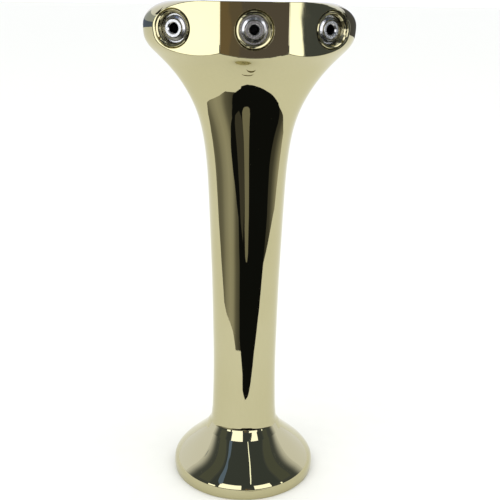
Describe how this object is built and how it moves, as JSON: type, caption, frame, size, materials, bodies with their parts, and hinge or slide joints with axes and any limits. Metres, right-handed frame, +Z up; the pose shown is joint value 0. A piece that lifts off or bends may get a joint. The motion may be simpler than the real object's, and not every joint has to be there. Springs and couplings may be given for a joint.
{
  "type": "draft beer tower",
  "caption": "Polished brass trumpet-shaped draft beer tower: bell foot, round column flaring to a wide head with faucet outlets on flat angled faces.",
  "frame": {"origin": "centre of the round foot on the counter top", "axes": "+Z up the column, outlets face -Y, +X to the viewer's right"},
  "size_m": [0.2028, 0.1548, 0.5044],
  "materials": {
    "polished_brass": "mirror polished, pale gold",
    "plain_brass": "machined",
    "stainless": "machined and lightly polished",
    "black_rubber": "matte",
    "foam": "closed-cell foam"
  },
  "bodies": {
    "tower": {"tower_body": "polished_brass", "top_cover": "polished_brass", "cover_gasket": "black_rubber", "cover_screw_1": "stainless", "cover_screw_2": "stainless", "cover_screw_3": "stainless", "cover_screw_4": "stainless", "mount_ring": "stainless", "ring_screw_1": "stainless", "ring_screw_2": "stainless", "ring_screw_3": "stainless", "ring_screw_4": "stainless", "base_gasket": "black_rubber", "insulation_sleeve": "foam", "shank_left": "stainless", "shank_washer_left": "stainless", "shank_locknut_left": "stainless", "tail_washer_left": "black_rubber", "tail_nut_left": "plain_brass", "tail_elbow_left": "stainless", "tube_union_left": "stainless", "product_tube_left": "stainless", "shank_centre": "stainless", "shank_washer_centre": "stainless", "shank_locknut_centre": "stainless", "tail_washer_centre": "black_rubber", "tail_nut_centre": "plain_brass", "tail_elbow_centre": "stainless", "tube_union_centre": "stainless", "product_tube_centre": "stainless", "shank_right": "stainless", "shank_washer_right": "stainless", "shank_locknut_right": "stainless", "tail_washer_right": "black_rubber", "tail_nut_right": "plain_brass", "tail_elbow_right": "stainless", "tube_union_right": "stainless", "product_tube_right": "stainless"},
    "nut_left": {"coupling_nut_left": "polished_brass"},
    "nut_centre": {"coupling_nut_centre": "polished_brass"},
    "nut_right": {"coupling_nut_right": "polished_brass"}
  },
  "joints": [
    {"name": "nut_left_spin", "type": "hinge", "parent": "tower", "child": "nut_left", "pos_m": [-0.07334, -0.051, 0.4799], "axis": [-0.4384, -0.8988, 0], "continuous": true},
    {"name": "nut_centre_spin", "type": "hinge", "parent": "tower", "child": "nut_centre", "pos_m": [0, -0.0716, 0.4799], "axis": [0, -1, 0], "continuous": true},
    {"name": "nut_right_spin", "type": "hinge", "parent": "tower", "child": "nut_right", "pos_m": [0.07334, -0.051, 0.4799], "axis": [0.4384, -0.8988, 0], "continuous": true}
  ]
}
